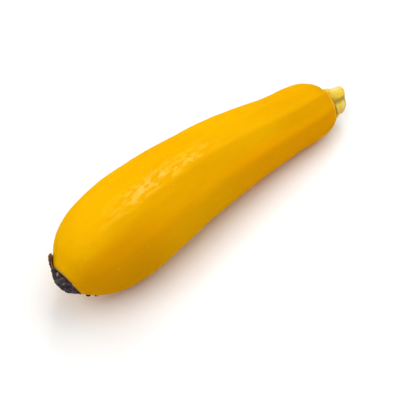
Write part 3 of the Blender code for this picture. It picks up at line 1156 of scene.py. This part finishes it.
@dataclass(frozen=True)
class BlossomScar:
    """The dried blossom: a crumpled core on the scar, with shrivelled petals that fold back over its rim.

    Attributes:
        fruit: The fruit that it sits on.
        at, foot: Where the scar's rim lies on the fruit's line, and how deep the core's foot lies in it.
        core_radius, core_height: Radius of the core, and its height over its foot.
        core_sides, core_sizes: Vertices round its rings, and the range of their reach.
        core_rings: Share of the height and of the radius.
        core_ripples, petal_ripples, crumb_ripples: The clouds that crumple each piece.
        summit: How far the core's top lies up and across from its middle.
        petal_way: Distance from the scar's middle and height off the scar along a petal.
        petal_rings: Share of its length, half its width as a share of the full width, and drift sideways.
        petal_width, petal_thickness: Its full width and its thickness.
        petal_humps, petal_hump: Parts of its half width that rise above the rest, and how far, of its width.
        clumps: The clumps of petals.
        crown_tilt: How far the crown of petals leans towards +Y.
        spread, layer: Angle between the petals of a clump, and how far each lies above the one before it.
        ranges: Ranges of a petal's length and width, of the usual ones, of the drift of its tip, its curl,
            its turn round the scar, its lean and what is added to its tone.
        crumbs: Place along the fruit, angle from the top towards -Y and radius of the loose bits on the skin.
        crumb_shape, crumb_turn, crumb_lift: Their stretch along each axis, their turn about it, and how far
            their middles stand off the skin, of their radius.
        seed: Seed of the small differences between petals.
    """

    fruit: Fruit
    at: float = -0.0009
    foot: float = -0.0007
    core_radius: float = 0.0072
    core_height: float = 0.0034
    core_sides: int = 32
    core_sizes: Span = (0.93, 1.04)
    core_rings: tuple[Span, ...] = (
        (0.0, 0.95), (0.14, 1.0), (0.34, 0.93), (0.56, 0.81), (0.76, 0.66), (0.90, 0.48), (0.98, 0.30),
        (1.0, 0.16),
    )
    core_ripples: tuple[Ripple, ...] = ((0.0024, 0.0020, 2),)
    summit: Span = (0.0004, 0.0016)
    petal_way: tuple[Span, ...] = (
        (0.0012, 0.0031), (0.0030, 0.0028), (0.0046, 0.0021), (0.0060, 0.0012), (0.0073, 0.0004),
        (0.0084, -0.0003), (0.0098, -0.0013), (0.0112, -0.0026), (0.0125, -0.0040), (0.0140, -0.0058),
    )
    petal_rings: tuple[tuple[float, float, float], ...] = (
        (0, 0.26, 0), (0.16, 0.40, 0.01), (0.32, 0.49, 0.03), (0.48, 0.52, 0.05), (0.64, 0.50, 0.08),
        (0.80, 0.42, 0.11), (0.92, 0.29, 0.15), (1, 0.14, 0.19),
    )
    petal_width: float = 0.0046
    petal_humps: Span = (0.35, 0.1)
    petal_hump: float = 0.05
    petal_thickness: float = 0.0004
    petal_ripples: tuple[Ripple, ...] = ((0.0020, 0.0012, 2), (0.0008, 0.0003, 1))
    clumps: tuple[Clump, ...] = (
        Clump(-65, 1, 0.0158, Dried.BROWN, 0.0068, 1.15, -0.0002, 34),
        Clump(-55, 1, 0.0152, Dried.TAN, 0.0070, 0.8), Clump(-40, 3, 0.0078, Dried.WEATHERED),
        Clump(-29, 1, 0.0080, Dried.BROWN, 0.0050, 0.45, 0.0005),
        Clump(-17, 1, 0.0082, Dried.TAN, 0.0056, 0.38, 0.0006), Clump(-8, 3, 0.0074),
        Clump(8, 2, 0.0080, Dried.RUSTY), Clump(17, 2, 0.0076),
        Clump(24, 1, 0.0074, Dried.TAN, 0.0048, 0.18, 0.0006), Clump(38, 3, 0.0076),
        Clump(32, 1, 0.0066, Dried.TAN, 0.0040, 0.16, 0.0008), Clump(64, 3, 0.0078, Dried.RUSTY),
        Clump(67, 1, 0.0082, Dried.TAN, 0.0060, 0.35, 0.0005), Clump(90, 3, 0.0086), Clump(125, 4, 0.0084),
        Clump(168, 4, 0.0088, Dried.WEATHERED), Clump(215, 4, 0.0090, Dried.WEATHERED),
        Clump(262, 3, 0.0088, Dried.WEATHERED), Clump(298, 3, 0.0082, Dried.WEATHERED),
    )
    crown_tilt: float = math.radians(-5)
    spread: float = math.radians(14)
    layer: float = 0.0003
    ranges: tuple[Span, ...] = (
        (0.86, 1.10), (0.75, 1.2), (-1.4, 1.4), (-0.07, 0.07), (-0.08, 0.08), (-0.03, 0.05), (0, 0.24),
    )
    crumbs: tuple[tuple[float, float, float], ...] = (
        (0.0019, 122, 0.00074), (0.0044, 124, 0.00036), (0.0051, 124, 0.00026),
    )
    crumb_shape: Place = (1.6, 0.9, 0.6)
    crumb_turn: Place = (0.2, 0.1, -0.7)
    crumb_lift: float = 0.5
    crumb_ripples: tuple[Ripple, ...] = ((0.0006, 0.0005, 1),)
    seed: int = 11

    def outwards(self) -> Matrix:
        """Find the scar's place.

        Returns:
            Its place, with Z away from the fruit, X upmost and Y to the -Y side.
        """
        tilt, side, _ = self.fruit.scar_tilt
        across = Vector((-math.sin(side), math.cos(side), 0))
        turned = self.fruit.line.upright(self.at) @ Matrix.Rotation(tilt, 3, across)
        upward, aside, forward = (turned.col[i] for i in range(3))
        turned = Matrix((upward, aside, -forward)).transposed().to_4x4()
        return Matrix.Translation(self.fruit.line.point(self.at)) @ turned

    def core(self, bench: Bench) -> Piece:
        """Model the low uneven mound on the scar.

        Args:
            bench: The bench of its finish.

        Returns:
            The finished piece.
        """
        draw = random.Random(self.seed + 1)
        away = self.outwards()
        uneven = [draw.uniform(*self.core_sizes) for _ in range(self.core_sides)]
        flat = (0.0,) * self.core_sides
        up, across = self.summit
        rings = []
        for share, spread in self.core_rings:
            middle = away @ Vector((up * share, -across * share, self.foot + share * self.core_height))
            reach = tuple(self.core_radius * spread * size for size in uneven)
            rings.append(Ring(middle, away.to_3x3(), reach, flat, flat, share * self.core_height))
        return finished(RingWork("blossom_core", rings).done(), 2, self.core_ripples, bench)

    def way(self, distance: float) -> Span:
        """Follow a petal's way.

        Args:
            distance: Distance from its root.

        Returns:
            Distance from the scar's middle and height off the scar.
        """
        for (out, up), (next_out, next_up) in zip(self.petal_way, self.petal_way[1:]):
            step = math.hypot(next_out - out, next_up - up)
            if distance <= step:
                break
            distance -= step
        else:
            distance += step
        return out + (next_out - out) * distance / step, up + (next_up - up) * distance / step

    def petal(self, start: float, length: float, width: float, skew: float, curl: float) -> Piece:
        """Model one petal, as it would lie at the top of a scar that faces up.

        Args:
            start: Where on its way it starts.
            length: Its length along its way, from the way's own start.
            width: Its full width.
            skew: Which way its tip drifts, and how much.
            curl: How much each step of it turns about its length.

        Returns:
            The petal, a thin curved sheet.
        """
        places = [self.way(start + share * (length - start)) for share, _, _ in self.petal_rings]
        (out, up), (next_out, next_up) = places[:2]
        halfway = (out + next_out) / 2
        bpy.ops.mesh.primitive_grid_add(x_subdivisions=1, y_subdivisions=4, size=1, location=(0, 0, 0))
        piece = bpy.context.object
        bpy.ops.object.mode_set(mode="EDIT")
        bpy.ops.transform.resize(value=(next_out - out, 2 * self.petal_rings[1][1] * width, 1))
        bpy.ops.transform.translate(value=(halfway, 0, up))
        for half in self.petal_humps:
            pick(piece, found(piece, lambda at: abs(at.y) < half * width))
            bpy.ops.transform.translate(value=(0, 0, self.petal_hump * width))
        pick(piece, found(piece, lambda at: at.x > halfway))
        bpy.ops.transform.translate(value=(0, 0, next_up - up))
        steps = zip(self.petal_rings[1:], self.petal_rings[2:], places[1:], places[2:])
        for before, after, old, new in steps:
            bpy.ops.mesh.extrude_region()
            drift = (after[2] - before[2]) * width * skew
            bpy.ops.transform.translate(value=(new[0] - old[0], drift, new[1] - old[1]))
            middle = (new[0], after[2] * width * skew, new[1])
            bpy.ops.transform.resize(value=(1, after[1] / before[1], 1), center_override=middle)
            bpy.ops.transform.rotate(value=curl, orient_axis="X", center_override=middle)
        bpy.ops.object.mode_set(mode="OBJECT")
        return piece

    def petals(self, bench: Bench) -> Piece:
        """Model the petals in their clumps, as one piece.

        Args:
            bench: The bench of their finish.

        Returns:
            The finished piece.
        """
        draw = random.Random(self.seed)
        crown = self.outwards() @ Matrix.Rotation(self.crown_tilt, 4, "X")
        petals = []
        for clump in self.clumps:
            for i in range(clump.count):
                longer, wider, skew, curl, turn, lean, shade = (draw.uniform(*span) for span in self.ranges)
                width = self.petal_width * clump.width * wider
                piece = self.petal(clump.start, clump.length * longer, width, skew, curl)
                angle = math.radians(clump.middle) + self.spread * (i - (clump.count - 1) / 2) + turn
                piece.matrix_world = (crown @ Matrix.Rotation(angle, 4, "Z")
                                      @ Matrix.Translation((0, 0, clump.lift + self.layer * (i % 3)))
                                      @ Matrix.Rotation(lean, 4, "Y")
                                      @ Matrix.Rotation(math.radians(clump.roll), 4, "X"))
                tone = piece.data.attributes.new("tone", "FLOAT", "POINT")
                for value in tone.data:
                    value.value = clump.dried.value + shade
                petals.append(piece)
        piece = joined("blossom_petals", petals)
        with_modifier(piece, "SOLIDIFY", thickness=self.petal_thickness, offset=0)
        return finished(piece, 2, self.petal_ripples, bench)

    def loose_bits(self, bench: Bench) -> Piece:
        """Model the crumbs of petal that stick to the skin, as one piece.

        Args:
            bench: The bench of their finish.

        Returns:
            The finished piece.
        """
        line, sides = self.fruit.line, self.fruit.sides
        bits = []
        for along, angle, size in self.crumbs:
            way = math.radians(angle)
            ring = self.fruit.body_ring(along)
            step = round((way - line.ridge_turn(along)) / (2 * math.pi) * sides) % sides
            out = Vector((math.cos(way), math.sin(way), 0)) * (ring.reach[step] + size * self.crumb_lift)
            place = line.point(along) + line.upright(along) @ (out + Vector((0, 0, ring.ahead[step])))
            bpy.ops.mesh.primitive_ico_sphere_add(subdivisions=2, radius=size, location=place)
            piece = bpy.context.object
            piece.scale = self.crumb_shape
            piece.rotation_euler = self.crumb_turn
            bits.append(piece)
        piece = joined("blossom_crumbs", bits)
        for ripple in self.crumb_ripples:
            rippled(piece, ripple)
        return finished(piece, 1, (), bench)

    def build(self, finish: DriedBlossom) -> list[Piece]:
        """Return the core, the petals and the loose bits, modelled and dressed."""
        bench = finish.make()
        return [self.core(bench), self.petals(bench), self.loose_bits(bench)]


@dataclass(frozen=True)
class SoftLight:
    """One large soft light that points at the zucchini.

    Attributes:
        name: Its name.
        towards, distance: Direction and distance from the zucchini to the light.
        size, power: Width of its square face, and its power in watts.
    """

    name: str
    towards: Place
    distance: float
    size: float
    power: float

    def hang(self, target: Vector) -> None:
        """Hang the light.

        Args:
            target: The point that it is aimed at.
        """
        way = Vector(self.towards).normalized()
        bpy.ops.object.light_add(type="AREA", location=target + way * self.distance,
                                 rotation=way.to_track_quat("Z", "Y").to_euler())
        light = bpy.context.object
        light.name = self.name
        light.data.size = self.size
        light.data.energy = self.power


@dataclass(frozen=True)
class Studio:
    """White floor, soft lights and the camera, which sees white beyond the floor.

    Attributes:
        target: The point that the camera looks at.
        azimuth, elevation, distance: The camera's turn round it and height over the floor, in degrees, and
            how far it is.
        lens, sensor, nearest: Its lens and its sensor's width, in millimetres, and where it starts to see.
        floor_size: Width of the floor.
        lit, lights: The point that the lights are aimed at, and the lights.
    """

    target: Place = (-0.01310, -0.00922, 0.020)
    azimuth: float = -41.91
    elevation: float = 55.0
    distance: float = 0.3940
    lens: float = 72.0
    sensor: float = 36.0
    nearest: float = 0.01
    floor_size: float = 4.0
    lit: Place = (0, 0, 0.02)
    lights: tuple[SoftLight, ...] = (
        SoftLight("above", (0.0, 0.0, 1.0), 1.1, 1.0, 5.2),
        SoftLight("right", (0.60, -0.02, 0.80), 1.1, 1.2, 7.0),
        SoftLight("back", (0.0, 0.94, 0.342), 1.1, 0.75, 4.0),
        SoftLight("left", (-0.643, 0.0, 0.766), 1.1, 0.75, 5.0),
        SoftLight("front", (0.0, -0.643, 0.766), 1.1, 0.75, 1.2),
        SoftLight("glint", (0.43, 0.43, 0.794), 1.2, 0.22, 1.5),
    )

    def floor(self, finish: WhiteFloor) -> None:
        """Lay the floor.

        Args:
            finish: Its finish.
        """
        bpy.ops.mesh.primitive_plane_add(size=self.floor_size, location=(0, 0, 0))
        floor = bpy.context.object
        floor.name = floor.data.name = "floor"
        floor.data.materials.append(finish.make().material)

    def camera(self) -> None:
        """Set up the camera."""
        around, over = math.radians(self.azimuth), math.radians(self.elevation)
        back = Vector((math.sin(around) * math.cos(over), -math.cos(around) * math.cos(over), math.sin(over)))
        bpy.ops.object.camera_add(location=Vector(self.target) + back * self.distance,
                                  rotation=(math.pi / 2 - over, 0, around))
        camera = bpy.context.object
        camera.data.sensor_width = self.sensor
        camera.data.lens = self.lens
        camera.data.clip_start = self.nearest
        bpy.context.scene.camera = camera

    def light(self) -> None:
        """Hang the lights, and let the world be white to the camera and dark to all else."""
        for light in self.lights:
            light.hang(Vector(self.lit))
        world = bpy.data.worlds.new("sky")
        world.use_nodes = True
        tree = world.node_tree
        background = tree.nodes["Background"].inputs
        background["Color"].default_value = (1, 1, 1, 1)
        path = tree.nodes.new("ShaderNodeLightPath")
        tree.links.new(path.outputs["Is Camera Ray"], background["Strength"])
        bpy.context.scene.world = world
        bpy.context.scene.view_settings.view_transform = "Standard"

    def build(self) -> None:
        """Set up all of the studio."""
        self.floor(WhiteFloor())
        self.light()
        self.camera()


def placed(piece: Piece, node: str, slot: str) -> None:
    """Let a piece stand for its solid and report it.

    Args:
        piece: The finished piece.
        node: The solid that it replaces.
        slot: The record's material slot; not used.
    """
    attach(piece, "root")
    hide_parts(node)
    LOG.info("%s: %d faces, in place of %s", piece.name, len(piece.data.polygons), node)


def main() -> None:
    """Build the zucchini and its studio."""
    logging.basicConfig(level=logging.INFO, format="%(message)s")
    line = GrowthLine()
    fruit = Fruit(line)
    placed(fruit.build(YellowSkin()), "fruit", "skin")
    placed(Stem(line).build(CutStalk()), "stem", "stem")
    for piece in BlossomScar(fruit).build(DriedBlossom()):
        placed(piece, "blossom_scar", "dried_blossom")
    Studio().build()


if __name__ == "__main__":
    main()
